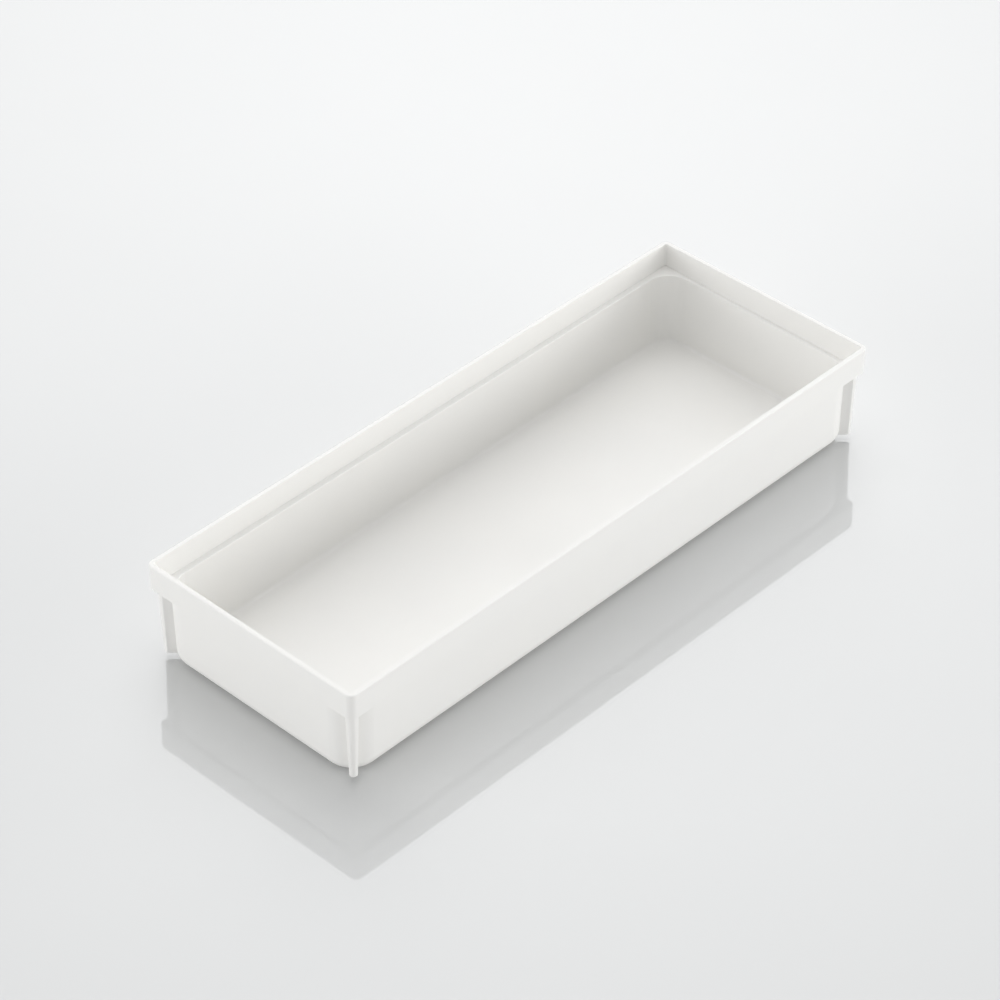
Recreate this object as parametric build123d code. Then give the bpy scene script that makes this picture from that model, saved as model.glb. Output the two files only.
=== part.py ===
from build123d import *
import math
import os

# A long, shallow drawer tray with a square rim, a rounded tub and four corner legs.
# All sizes are in millimetres. The origin is on the surface that the tray stands on,
# under the middle of the tray. +X runs along the length, +Y across the width, +Z up.

# Overall size. Length and width are taken over the rim at its top.
tray_length = 285.0
tray_width = 106.5
tray_height = 45.0

# Every side face leans by this many degrees, so that the moulding leaves its mould.
draft_angle = 1.2

# Rim: the square-cornered upper part.
rim_wall = 1.9
rim_corner_radius = 2.9
rim_outer_rounding = 0.6
rim_inner_rounding = 0.25
rim_lower_rounding = 0.3

# Ledge: the flat step between the rim and the tub.
ledge_depth = 10.5
ledge_thickness = 1.0
ledge_width_sides = 2.8
ledge_width_ends = 1.9
ledge_rounding = 0.4

# Tub: the rounded lower part.
tub_wall = 1.6
tub_floor = 1.7
tub_corner_radius = 12.0
tub_bottom_rounding = 5.5
tub_inner_bottom_rounding = 1.6

# Legs: diagonal fins that hang from the ledge, one at each corner. Each has a nose with the
# shape of the rim's corner, set back from the sides of the tray, and gets slimmer downwards.
leg_top_thickness = 4.8
leg_top_inset = 2.05
leg_top_nose_radius = 2.1
leg_foot_thickness = 3.1
leg_foot_inset = 3.0
leg_foot_nose_radius = 1.4
leg_edge_radius = 0.6
leg_ground_gap = 2.8
leg_foot_rounding = 0.3

# Pads: round non-slip feet in shallow wells under the floor. The margin is the distance
# from the tub's wall to the edge of a pad.
pad_diameter = 12.0
pad_thickness = 1.0
pad_stand_out = 0.3
pad_edge_rounding = 0.25
pad_side_clearance = 0.15
pad_margin = 12.0

# Gate dimple: the shallow round mark where the plastic enters the mould.
gate_diameter = 7.0
gate_depth = 0.35

# Heights that follow from the sizes above.
ledge_top = tray_height - ledge_depth
ledge_underside = ledge_top - ledge_thickness
tub_underside = pad_stand_out
floor_top = tub_underside + tub_floor
well_depth = pad_thickness - pad_stand_out

# Plan sizes that follow from the sizes above.
rim_inner_length = tray_length - 2 * rim_wall
rim_inner_width = tray_width - 2 * rim_wall
rim_inner_radius = rim_corner_radius - rim_wall
tub_inner_length = rim_inner_length - 2 * ledge_width_ends
tub_inner_width = rim_inner_width - 2 * ledge_width_sides
tub_inner_radius = tub_corner_radius - tub_wall
tub_outer_length = tub_inner_length + 2 * tub_wall
tub_outer_width = tub_inner_width + 2 * tub_wall
tub_set_back = max(tray_length - tub_outer_length, tray_width - tub_outer_width) / 2
leg_reach = math.sqrt(2) * (tub_set_back + tub_corner_radius)
well_radius = pad_diameter / 2 + pad_side_clearance
pad_x = tub_outer_length / 2 - pad_margin - pad_diameter / 2
pad_y = tub_outer_width / 2 - pad_margin - pad_diameter / 2


def tapered_block(length, width, corner_radius, top, bottom):
    """A block with rounded corners, drawn at its top, that narrows on its way down."""
    outline = Pos(0, 0, top) * RectangleRounded(length, width, corner_radius)
    return extrude(outline, amount=top - bottom, dir=(0, 0, -1), taper=draft_angle)


def edges_at(shape, height):
    """The edges of a shape that lie flat at one height."""
    return shape.edges().filter_by_position(Axis.Z, height - 0.001, height + 0.001)


def edges_round_hole(shape, height):
    """The edges round the hole in the flat ring that a shape has at one height."""
    flat_faces = shape.faces().filter_by(Plane.XY)
    ring = flat_faces.filter_by_position(Axis.Z, height - 0.001, height + 0.001)[0]
    return ring.inner_wires()[0].edges()


def make_rim_block():
    """The outside of the rim and the ledge as one solid block."""
    block = tapered_block(tray_length, tray_width, rim_corner_radius, tray_height, ledge_underside)
    block = fillet(edges_at(block, tray_height), rim_outer_rounding)
    return fillet(edges_at(block, ledge_underside), rim_lower_rounding)


def make_rim_opening():
    """The space inside the rim, above the ledge."""
    return tapered_block(rim_inner_length, rim_inner_width, rim_inner_radius, tray_height, ledge_top)


def make_tub_block():
    """The outside of the tub as one solid block."""
    block = tapered_block(
        tub_outer_length, tub_outer_width, tub_corner_radius, ledge_top, tub_underside
    )
    return fillet(edges_at(block, tub_underside), tub_bottom_rounding)


def make_tub_opening():
    """The space inside the tub, below the ledge."""
    block = tapered_block(tub_inner_length, tub_inner_width, tub_inner_radius, ledge_top, floor_top)
    return fillet(edges_at(block, floor_top), tub_inner_bottom_rounding)


def leg_section(thickness, inset, nose_radius, height):
    """A leg's outline at one height, with the tray's corner at the origin and -X inwards."""
    tip = -math.sqrt(2) * inset
    half = thickness / 2
    corners = [(tip, 0), (tip - half, half), (-leg_reach, half), (-leg_reach, -half), (tip - half, -half)]
    outline = make_face(Polyline(*corners, close=True))
    outward = outline.vertices().sort_by(Axis.X)
    outline = fillet(outward[2:4], leg_edge_radius)
    outline = fillet(outline.vertices().sort_by(Axis.X)[-1], nose_radius)
    return Pos(0, 0, height) * outline


def make_leg():
    """One leg, with the tray's corner at the origin and -X inwards."""
    top = leg_section(leg_top_thickness, leg_top_inset, leg_top_nose_radius, ledge_top)
    foot = leg_section(leg_foot_thickness, leg_foot_inset, leg_foot_nose_radius, leg_ground_gap)
    leg = loft([foot, top], ruled=True)
    return fillet(edges_at(leg, leg_ground_gap), leg_foot_rounding)


def make_legs():
    """Four equal legs, one at each corner, each turned outwards along the diagonal."""
    leg = make_leg()
    legs = Part()
    for side_x in (-1, 1):
        for side_y in (-1, 1):
            corner = Pos(side_x * tray_length / 2, side_y * tray_width / 2, 0)
            outwards = math.degrees(math.atan2(side_y, side_x))
            legs += corner * Rot(0, 0, outwards) * leg
    return legs


def pad_places():
    """The plan position of each pad, by name."""
    return {
        "pad_near_left": (-pad_x, -pad_y),
        "pad_near_right": (pad_x, -pad_y),
        "pad_far_left": (-pad_x, pad_y),
        "pad_far_right": (pad_x, pad_y),
    }


def make_tray_body():
    """The whole moulding: rim, ledge, tub and legs, with wells for the pads."""
    body = make_rim_block() + make_tub_block() + make_legs()
    body -= make_rim_opening()
    body -= make_tub_opening()
    body = fillet(edges_round_hole(body, tray_height), rim_inner_rounding)
    body = fillet(edges_round_hole(body, ledge_top), ledge_rounding)
    up = (Align.CENTER, Align.CENTER, Align.MIN)
    for x, y in pad_places().values():
        body -= Pos(x, y, tub_underside) * Cylinder(well_radius, well_depth, align=up)
    body -= Pos(0, 0, tub_underside) * Cylinder(gate_diameter / 2, gate_depth, align=up)
    return body


def make_pad(x, y):
    """One round pad that fills its well and stands out below the floor."""
    up = (Align.CENTER, Align.CENTER, Align.MIN)
    pad = Cylinder(pad_diameter / 2, pad_thickness, align=up)
    pad = fillet(edges_at(pad, 0), pad_edge_rounding)
    return Pos(x, y, 0) * pad


os.makedirs("parts", exist_ok=True)

export_step(make_tray_body(), "parts/tray_body.step")
for pad_name, (x, y) in pad_places().items():
    export_step(make_pad(x, y), "parts/" + pad_name + ".step")
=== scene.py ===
"""The looks of the drawer tray: its finishes, the glossy floor, the studio light and the camera."""

import math

import bpy
from mathutils import Matrix, Vector

# Lengths are in metres and angles in degrees, in the frame of the CAD model:
# +X along the tray, +Y across it, +Z up, with the origin on the floor under its middle.

# Camera. The azimuth turns from the -Y side towards +X, and the aim is the point that
# the camera looks at, measured sideways and upwards in the picture from the origin.
CAMERA_AZIMUTH = -46.42
CAMERA_ELEVATION = 38.84
CAMERA_ROLL = 0.11
CAMERA_DISTANCE = 1.4191
CAMERA_AIM_SIDEWAYS = -0.00771
CAMERA_AIM_UPWARDS = 0.01660
CAMERA_LENS_MM = 132.4
CAMERA_SENSOR_MM = 36.0

# Floor: a pale board with a polished face. Its mirror share follows the angle of view.
FLOOR_SIZE = 12.0
FLOOR_LIGHT_TONE = (0.646, 0.652, 0.649, 1.0)
FLOOR_DARK_TONE = (0.639, 0.645, 0.642, 1.0)
FLOOR_GLOSS_IOR = 1.9
FLOOR_BODY_ROUGHNESS = 0.9
FLOOR_POLISH_BEST = 0.045
FLOOR_POLISH_WORST = 0.055
FLOOR_SCRATCH_ROUGHNESS_CHANGE = 0.03

# Light. A lamp's radiance is what a white card close in front of it would show.
# The azimuths of the glow and of the lamps turn from the camera's side towards the right.
# The glow is brightest at its middle and fades out over its reach.
ROOM_COLOR = (0.985, 0.99, 1.0, 1.0)
ROOM_RADIANCE = 0.45
GLOW_AZIMUTH = 180.0
GLOW_ELEVATION = 33.0
GLOW_REACH = 31.0
GLOW_RADIANCE = 2.75
LAMP_DISTANCE = 2.0
LAMP_AIM = Vector((0.0, 0.0, 0.02))
LAMPS = (
    # name, azimuth, elevation, width, height, radiance
    ("right_strip", 80.0, 10.5, 3.0, 0.7, 4.0),
    ("left_strip", 291.0, 10.5, 2.2, 0.7, 3.8),
    ("top_softbox", 180.0, 84.0, 1.8, 1.6, 1.22),
    ("back_softbox", 180.0, 62.0, 2.0, 0.7, 1.25),
)

# Tones of the plastic and of the pads.
TRAY_WARM_TONE = (0.876, 0.868, 0.843, 1.0)
TRAY_COOL_TONE = (0.866, 0.860, 0.839, 1.0)
TRAY_FLECK_TONE = (0.840, 0.836, 0.815, 1.0)
TRAY_SCUFF_TONE = (0.780, 0.778, 0.765, 1.0)
PAD_MILKY_TONE = (0.745, 0.752, 0.750, 1.0)
PAD_GREY_TONE = (0.715, 0.722, 0.722, 1.0)
PAD_DUST_TONE = (0.600, 0.590, 0.570, 1.0)

# How strongly each kind of mark shows in the tone.
TRAY_FLECK_STRENGTH = 0.22
TRAY_SCUFF_STRENGTH = 0.22
TRAY_WEAR_STRENGTH = 0.30
PAD_FLECK_STRENGTH = 0.35
PAD_WEAR_STRENGTH = 0.6

# The noise behind the clouds and the marks runs from 0 to 1. Each of them begins where the noise
# passes the first value of its pair, and is full from the second value on.
CLOUD_STEP = (0.30, 0.70)
FLECK_STEP = (0.68, 0.76)
SCRATCH_STEP = (0.74, 0.80)
SCRATCH_PATCH_STEP = (0.42, 0.62)
WEAR_PATCH_STEP = (0.40, 0.65)

# Roughness of the plastic and of the pads. A change is added where a part of the surface differs.
TRAY_ROUGHNESS_LOW = 0.38
TRAY_ROUGHNESS_HIGH = 0.46
RIM_TOP_ROUGHNESS_CHANGE = 0.12
LEDGE_ROUGHNESS_CHANGE = -0.05
BLOOM_ROUGHNESS_CHANGE = 0.06
SCUFF_ROUGHNESS_CHANGE = 0.10
WEAR_ROUGHNESS_CHANGE = 0.12
PAD_ROUGHNESS_LOW = 0.56
PAD_ROUGHNESS_HIGH = 0.66
PAD_WEAR_ROUGHNESS_CHANGE = 0.2

# Heights above the floor, in millimetres, at which the tray's finish changes.
TUB_FLOOR_MM = 2.0
LEDGE_MM = 34.5
RIM_TOP_MM = 45.0

# Other lengths in the finishes, in millimetres. The bloom is full up to its inner radius, gone
# from its outer radius on, and its edge wanders inwards by up to the last of its lengths.
SCRATCH_DEPTH_MM = 0.004
BLOOM_INNER_RADIUS_MM = 12.0
BLOOM_OUTER_RADIUS_MM = 34.0
BLOOM_LUMP_SIZE_MM = 9.0
BLOOM_EDGE_WANDER_MM = 16.0

# Mesh and CAD lengths are in metres, and the patterns in the finishes are laid out in millimetres.
MM_PER_M = 1000.0


def direction(azimuth, elevation):
    """The unit vector that points from the origin to a place in the studio."""
    turn = math.radians(azimuth)
    rise = math.radians(elevation)
    across = math.cos(rise)
    return Vector((math.sin(turn) * across, -math.cos(turn) * across, math.sin(rise)))


def add_node(tree, kind, inputs=None, **settings):
    """A new shader node. Its inputs take a value or the output of another node."""
    node = tree.nodes.new("ShaderNode" + kind)
    for key, value in settings.items():
        setattr(node, key, value)
    for socket, value in (inputs or {}).items():
        if isinstance(value, bpy.types.NodeSocket):
            tree.links.new(value, node.inputs[socket])
        else:
            node.inputs[socket].default_value = value
    return node


def add_math(tree, operation, first, second=None, clamp=False):
    """A Math node's output."""
    inputs = {0: first} if second is None else {0: first, 1: second}
    return add_node(tree, "Math", inputs, operation=operation, use_clamp=clamp).outputs["Value"]


def add_ramp(tree, value, low, high, at_low=0.0, at_high=1.0):
    """A smooth step: at_low where the value is at most low, at_high where it is at least high."""
    inputs = {"Value": value, "From Min": low, "From Max": high, "To Min": at_low, "To Max": at_high}
    return add_node(tree, "MapRange", inputs, interpolation_type="SMOOTHSTEP").outputs["Result"]


def blend_tones(tree, factor, first, second):
    """The colour between two tones."""
    mix = add_node(tree, "Mix", data_type="RGBA")
    for name, value in (("Factor_Float", factor), ("A_Color", first), ("B_Color", second)):
        socket = next(s for s in mix.inputs if s.identifier == name)
        if isinstance(value, bpy.types.NodeSocket):
            tree.links.new(value, socket)
        else:
            socket.default_value = value
    return next(s for s in mix.outputs if s.identifier == "Result_Color")


def position_in_mm(tree):
    """The position on the object, in millimetres in the frame of the CAD model."""
    place = add_node(tree, "TexCoord")
    inputs = {0: place.outputs["Object"], "Scale": MM_PER_M}
    scaled = add_node(tree, "VectorMath", inputs, operation="SCALE")
    return scaled.outputs["Vector"]


def add_camera():
    """The camera at the viewing angle of the photograph."""
    back = direction(CAMERA_AZIMUTH, CAMERA_ELEVATION)
    level_right = Vector((0, 0, 1)).cross(back).normalized()
    level_up = back.cross(level_right)
    roll = math.radians(CAMERA_ROLL)
    right = math.cos(roll) * level_right + math.sin(roll) * level_up
    up = back.cross(right)
    data = bpy.data.cameras.new("photo_camera")
    data.lens = CAMERA_LENS_MM
    data.sensor_width = CAMERA_SENSOR_MM
    data.clip_end = 4 * FLOOR_SIZE
    camera = bpy.data.objects.new("photo_camera", data)
    place = CAMERA_AIM_SIDEWAYS * right + CAMERA_AIM_UPWARDS * up + CAMERA_DISTANCE * back
    camera.matrix_world = Matrix.Translation(place) @ Matrix((right, up, back)).transposed().to_4x4()
    bpy.context.scene.collection.objects.link(camera)
    bpy.context.scene.camera = camera


def add_softbox(name, azimuth, elevation, width, height, radiance):
    """A large soft lamp that faces the tray."""
    data = bpy.data.lights.new(name, "AREA")
    data.shape = "RECTANGLE"
    data.size = width
    data.size_y = height
    data.energy = radiance * math.pi * width * height
    lamp = bpy.data.objects.new(name, data)
    back = direction(CAMERA_AZIMUTH + azimuth, elevation)
    lamp.location = LAMP_AIM + LAMP_DISTANCE * back
    lamp.rotation_euler = back.to_track_quat("Z", "Y").to_euler()
    lamp.visible_camera = False
    bpy.context.scene.collection.objects.link(lamp)


def add_world():
    """A dim, even room with a broad soft glow behind the tray."""
    world = bpy.data.worlds.new("studio_room")
    world.use_nodes = True
    tree = world.node_tree
    background = tree.nodes["Background"]
    place = add_node(tree, "TexCoord")
    towards_glow = add_node(
        tree,
        "VectorMath",
        {0: place.outputs["Generated"], 1: direction(CAMERA_AZIMUTH + GLOW_AZIMUTH, GLOW_ELEVATION)},
        operation="DOT_PRODUCT",
    )
    angle = add_math(tree, "ARCCOSINE", towards_glow.outputs["Value"])
    glow = add_node(
        tree,
        "MapRange",
        {
            "Value": angle,
            "From Min": 0.0,
            "From Max": math.radians(GLOW_REACH),
            "To Min": ROOM_RADIANCE + GLOW_RADIANCE,
            "To Max": ROOM_RADIANCE,
        },
        interpolation_type="SMOOTHSTEP",
    )
    background.inputs["Color"].default_value = ROOM_COLOR
    tree.links.new(glow.outputs["Result"], background.inputs["Strength"])
    bpy.context.scene.world = world


def new_effect(name, inputs, outputs):
    """A shader node group with named inputs and outputs, for use in several finishes."""
    group = bpy.data.node_groups.new(name, "ShaderNodeTree")
    for label, value in inputs.items():
        socket = group.interface.new_socket(label, in_out="INPUT", socket_type="NodeSocketFloat")
        socket.default_value = value
    for label in outputs:
        group.interface.new_socket(label, in_out="OUTPUT", socket_type="NodeSocketFloat")
    return group, group.nodes.new("NodeGroupInput").outputs, group.nodes.new("NodeGroupOutput").inputs


def use_effect(tree, group, **values):
    """Places an effect in a finish with values of its own. Returns its outputs."""
    node = tree.nodes.new("ShaderNodeGroup")
    node.node_tree = group
    for label, value in values.items():
        node.inputs[label].default_value = value
    return node.outputs


def add_noise(tree, place, size_mm, detail=2.0, roughness=0.5):
    """Smooth noise from 0 to 1 whose lumps have a size in millimetres."""
    scale = add_math(tree, "DIVIDE", 1.0, size_mm)
    inputs = {"Vector": place, "Scale": scale, "Detail": detail, "Roughness": roughness}
    return add_node(tree, "TexNoise", inputs).outputs["Fac"]


def make_mould_texture():
    """Effect: the surface height, in millimetres, that a mould's fine spark texture leaves."""
    group, given, result = new_effect(
        "mould_texture",
        {"Grain_Size": 0.4, "Grain_Height": 0.004, "Wave_Size": 14.0, "Wave_Height": 0.01},
        ("Height",),
    )
    place = position_in_mm(group)
    grain = add_noise(group, place, given["Grain_Size"], detail=3.0, roughness=0.6)
    wave = add_noise(group, place, given["Wave_Size"], detail=1.0)
    grain_height = add_math(group, "MULTIPLY", grain, given["Grain_Height"])
    wave_height = add_math(group, "MULTIPLY", wave, given["Wave_Height"])
    group.links.new(add_math(group, "ADD", grain_height, wave_height), result["Height"])
    return group


def make_uneven_tone():
    """Effect: broad cloudy patches and small flecks, from 0 to 1, for tone and gloss."""
    group, given, result = new_effect(
        "uneven_tone", {"Patch_Size": 40.0, "Fleck_Size": 1.2}, ("Clouds", "Flecks")
    )
    place = position_in_mm(group)
    clouds = add_noise(group, place, given["Patch_Size"], detail=3.0)
    flecks = add_noise(group, place, given["Fleck_Size"], detail=1.0)
    group.links.new(add_ramp(group, clouds, *CLOUD_STEP), result["Clouds"])
    group.links.new(add_ramp(group, flecks, *FLECK_STEP), result["Flecks"])
    return group


def make_rub_marks():
    """Effect: a mask of hair-thin scratches in two directions, gathered in patches."""
    group, given, result = new_effect(
        "rub_marks", {"Length": 22.0, "Width": 0.18, "Turn": 0.3, "Spread": 30.0}, ("Marks",)
    )
    place = position_in_mm(group)
    both = None
    # The second direction turns the other way, and its shift keeps its pattern from repeating.
    for side, shift in ((1.0, 0.0), (-1.7, 37.0)):
        turn = add_math(group, "MULTIPLY", given["Turn"], side)
        turned = add_node(
            group, "VectorRotate", {"Vector": place, "Angle": turn}, rotation_type="Z_AXIS"
        ).outputs["Vector"]
        parts = add_node(group, "SeparateXYZ", {"Vector": turned}).outputs
        along = add_math(group, "DIVIDE", parts["X"], given["Length"])
        across = add_math(group, "DIVIDE", parts["Y"], given["Width"])
        stretched = add_node(group, "CombineXYZ", {"X": along, "Y": across, "Z": shift})
        lines = add_node(
            group, "TexNoise", {"Vector": stretched.outputs["Vector"], "Scale": 1.0, "Detail": 0.0}
        ).outputs["Fac"]
        thin = add_ramp(group, lines, *SCRATCH_STEP)
        both = thin if both is None else add_math(group, "MAXIMUM", both, thin)
    spread = add_noise(group, place, given["Spread"], detail=1.0)
    patches = add_ramp(group, spread, *SCRATCH_PATCH_STEP)
    group.links.new(add_math(group, "MULTIPLY", both, patches), result["Marks"])
    return group


def make_standing_wear():
    """Effect: a mask of the wear and dust near the surface that the tray stands on."""
    group, given, result = new_effect("standing_wear", {"Reach": 0.5, "Fleck_Size": 1.6}, ("Wear",))
    place = position_in_mm(group)
    height = add_node(group, "SeparateXYZ", {"Vector": place}).outputs["Z"]
    rise = add_math(group, "DIVIDE", height, given["Reach"])
    # The wear is full up to 0.4 of its reach, and gone from its reach on.
    low = add_ramp(group, rise, 0.4, 1.0, at_low=1.0, at_high=0.0)
    flecks = add_noise(group, place, given["Fleck_Size"], detail=3.0, roughness=0.6)
    patchy = add_ramp(group, flecks, *WEAR_PATCH_STEP)
    group.links.new(add_math(group, "MULTIPLY", low, patchy), result["Wear"])
    return group


def new_material(name):
    """An empty node material: the material, its node tree and its Principled shader."""
    material = bpy.data.materials.new(name)
    material.use_nodes = True
    return material, material.node_tree, material.node_tree.nodes["Principled BSDF"]


def connect(tree, value, shader, socket):
    """Feeds one of the shader's sockets."""
    tree.links.new(value, shader.inputs[socket])


def add_bump(tree, height_in_mm, shader):
    """Turns a height in millimetres into the shader's normal."""
    bump = add_node(tree, "Bump", {"Strength": 1.0, "Distance": 1.0 / MM_PER_M, "Height": height_in_mm})
    connect(tree, bump.outputs["Normal"], shader, "Normal")


def gate_bloom(tree, place):
    """A mask of the dull bloom that spreads in the floor of the tub from the gate."""
    parts = add_node(tree, "SeparateXYZ", {"Vector": place}).outputs
    flat = add_node(tree, "CombineXYZ", {"X": parts["X"], "Y": parts["Y"]}).outputs["Vector"]
    distance = add_node(tree, "VectorMath", {0: flat}, operation="LENGTH").outputs["Value"]
    unevenness = add_noise(tree, place, BLOOM_LUMP_SIZE_MM, detail=2.0)
    wander = add_math(tree, "MULTIPLY", unevenness, BLOOM_EDGE_WANDER_MM)
    edge = add_math(tree, "ADD", distance, wander)
    near = add_ramp(
        tree, edge, BLOOM_INNER_RADIUS_MM, BLOOM_OUTER_RADIUS_MM, at_low=1.0, at_high=0.0
    )
    low = add_ramp(tree, parts["Z"], TUB_FLOOR_MM + 0.2, TUB_FLOOR_MM + 1.0, at_low=1.0, at_high=0.0)
    return add_math(tree, "MULTIPLY", near, low)


def band(tree, value, middle, half_width, softness):
    """A mask that is 1 within a band of values and fades outside it."""
    away = add_math(tree, "ABSOLUTE", add_math(tree, "SUBTRACT", value, middle))
    return add_ramp(tree, away, half_width, half_width + softness, at_low=1.0, at_high=0.0)


def make_tray_plastic(mould_texture, uneven_tone, rub_marks, standing_wear):
    """White moulded plastic with a fine satin texture, worn a little where things rub."""
    material, tree, shader = new_material("tray_plastic")
    place = position_in_mm(tree)
    height = add_node(tree, "SeparateXYZ", {"Vector": place}).outputs["Z"]
    tone = use_effect(tree, uneven_tone, Patch_Size=46.0, Fleck_Size=1.1)
    texture = use_effect(
        tree, mould_texture, Grain_Size=0.55, Grain_Height=0.024, Wave_Size=17.0, Wave_Height=0.02
    )
    scratches = use_effect(tree, rub_marks, Length=26.0, Width=0.16, Turn=0.22, Spread=28.0)
    wear = use_effect(tree, standing_wear, Reach=0.9, Fleck_Size=2.2)["Wear"]
    on_tub_floor = band(tree, height, TUB_FLOOR_MM, half_width=0.3, softness=0.3)
    on_rim_top = add_ramp(tree, height, RIM_TOP_MM - 0.45, RIM_TOP_MM - 0.1)
    on_ledge = band(tree, height, LEDGE_MM, half_width=0.15, softness=0.25)
    bloom = gate_bloom(tree, place)
    scuffs = add_math(tree, "MULTIPLY", scratches["Marks"], on_tub_floor)

    clean = blend_tones(tree, tone["Clouds"], TRAY_WARM_TONE, TRAY_COOL_TONE)
    fleck_share = add_math(tree, "MULTIPLY", tone["Flecks"], TRAY_FLECK_STRENGTH)
    flecked = blend_tones(tree, fleck_share, clean, TRAY_FLECK_TONE)
    scuff_share = add_math(tree, "MULTIPLY", scuffs, TRAY_SCUFF_STRENGTH)
    scuffed = blend_tones(tree, scuff_share, flecked, TRAY_SCUFF_TONE)
    wear_share = add_math(tree, "MULTIPLY", wear, TRAY_WEAR_STRENGTH)
    worn = blend_tones(tree, wear_share, scuffed, TRAY_SCUFF_TONE)
    connect(tree, worn, shader, "Base Color")

    roughness = add_ramp(tree, tone["Clouds"], 0.0, 1.0, TRAY_ROUGHNESS_LOW, TRAY_ROUGHNESS_HIGH)
    for mask, change in (
        (on_rim_top, RIM_TOP_ROUGHNESS_CHANGE),
        (on_ledge, LEDGE_ROUGHNESS_CHANGE),
        (bloom, BLOOM_ROUGHNESS_CHANGE),
        (scuffs, SCUFF_ROUGHNESS_CHANGE),
        (wear, WEAR_ROUGHNESS_CHANGE),
    ):
        roughness = add_math(tree, "ADD", roughness, add_math(tree, "MULTIPLY", mask, change))
    connect(tree, roughness, shader, "Roughness")

    scratch_depth = add_math(tree, "MULTIPLY", scuffs, -SCRATCH_DEPTH_MM)
    add_bump(tree, add_math(tree, "ADD", texture["Height"], scratch_depth), shader)
    return material


def make_pad_rubber(mould_texture, uneven_tone, standing_wear):
    """Milky non-slip elastomer, dull and a little dusty on its sole."""
    material, tree, shader = new_material("pad_rubber")
    tone = use_effect(tree, uneven_tone, Patch_Size=5.0, Fleck_Size=0.5)
    texture = use_effect(
        tree, mould_texture, Grain_Size=0.3, Grain_Height=0.012, Wave_Size=3.0, Wave_Height=0.02
    )
    wear = use_effect(tree, standing_wear, Reach=0.25, Fleck_Size=0.7)["Wear"]
    clean = blend_tones(tree, tone["Clouds"], PAD_MILKY_TONE, PAD_GREY_TONE)
    fleck_share = add_math(tree, "MULTIPLY", tone["Flecks"], PAD_FLECK_STRENGTH)
    flecked = blend_tones(tree, fleck_share, clean, PAD_DUST_TONE)
    wear_share = add_math(tree, "MULTIPLY", wear, PAD_WEAR_STRENGTH)
    dusty = blend_tones(tree, wear_share, flecked, PAD_DUST_TONE)
    connect(tree, dusty, shader, "Base Color")
    dullness = add_ramp(tree, tone["Clouds"], 0.0, 1.0, PAD_ROUGHNESS_LOW, PAD_ROUGHNESS_HIGH)
    wear_change = add_math(tree, "MULTIPLY", wear, PAD_WEAR_ROUGHNESS_CHANGE)
    connect(tree, add_math(tree, "ADD", dullness, wear_change), shader, "Roughness")
    add_bump(tree, texture["Height"], shader)
    return material


def make_floor_board(uneven_tone, rub_marks):
    """A pale board with a polished face that mirrors what stands on it."""
    material, tree, shader = new_material("floor_board")
    tone = use_effect(tree, uneven_tone, Patch_Size=160.0, Fleck_Size=0.9)
    scratches = use_effect(tree, rub_marks, Length=60.0, Width=0.25, Turn=0.7, Spread=120.0)
    base = blend_tones(tree, tone["Clouds"], FLOOR_LIGHT_TONE, FLOOR_DARK_TONE)
    connect(tree, base, shader, "Base Color")
    shader.inputs["Roughness"].default_value = FLOOR_BODY_ROUGHNESS
    shader.inputs["Specular IOR Level"].default_value = 0.0
    polish = add_ramp(tree, tone["Clouds"], 0.0, 1.0, FLOOR_POLISH_BEST, FLOOR_POLISH_WORST)
    scratch_change = add_math(tree, "MULTIPLY", scratches["Marks"], FLOOR_SCRATCH_ROUGHNESS_CHANGE)
    dulled = add_math(tree, "ADD", polish, scratch_change)
    mirror = add_node(tree, "BsdfGlossy", {"Roughness": dulled})
    share = add_node(tree, "Fresnel", {"IOR": FLOOR_GLOSS_IOR})
    mix = add_node(
        tree,
        "MixShader",
        {"Fac": share.outputs["Fac"], 1: shader.outputs["BSDF"], 2: mirror.outputs["BSDF"]},
    )
    tree.links.new(mix.outputs["Shader"], tree.nodes["Material Output"].inputs["Surface"])
    return material


def add_floor(material):
    """The surface that the tray stands on."""
    half = FLOOR_SIZE / 2
    corners = [(-half, -half, 0), (half, -half, 0), (half, half, 0), (-half, half, 0)]
    mesh = bpy.data.meshes.new("studio_floor")
    mesh.from_pydata(corners, [], [(0, 1, 2, 3)])
    mesh.materials.append(material)
    floor = bpy.data.objects.new("studio_floor", mesh)
    bpy.context.scene.collection.objects.link(floor)


def set_finish(node, material):
    """Gives a CAD piece its finish."""
    node.data.materials.clear()
    node.data.materials.append(material)


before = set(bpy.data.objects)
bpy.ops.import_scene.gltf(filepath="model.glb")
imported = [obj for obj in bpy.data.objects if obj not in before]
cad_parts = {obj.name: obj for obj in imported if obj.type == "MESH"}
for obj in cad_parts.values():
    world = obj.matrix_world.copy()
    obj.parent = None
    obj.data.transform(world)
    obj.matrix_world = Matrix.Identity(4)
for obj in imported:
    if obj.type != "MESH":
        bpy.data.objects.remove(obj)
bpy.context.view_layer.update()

mould_texture = make_mould_texture()
uneven_tone = make_uneven_tone()
rub_marks = make_rub_marks()
standing_wear = make_standing_wear()
tray_plastic = make_tray_plastic(mould_texture, uneven_tone, rub_marks, standing_wear)
pad_rubber = make_pad_rubber(mould_texture, uneven_tone, standing_wear)
for name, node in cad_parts.items():
    if name == "tray_body":
        set_finish(node, tray_plastic)
    else:
        set_finish(node, pad_rubber)

add_floor(make_floor_board(uneven_tone, rub_marks))
add_world()
for lamp in LAMPS:
    add_softbox(*lamp)
add_camera()
bpy.context.scene.view_settings.view_transform = "Standard"
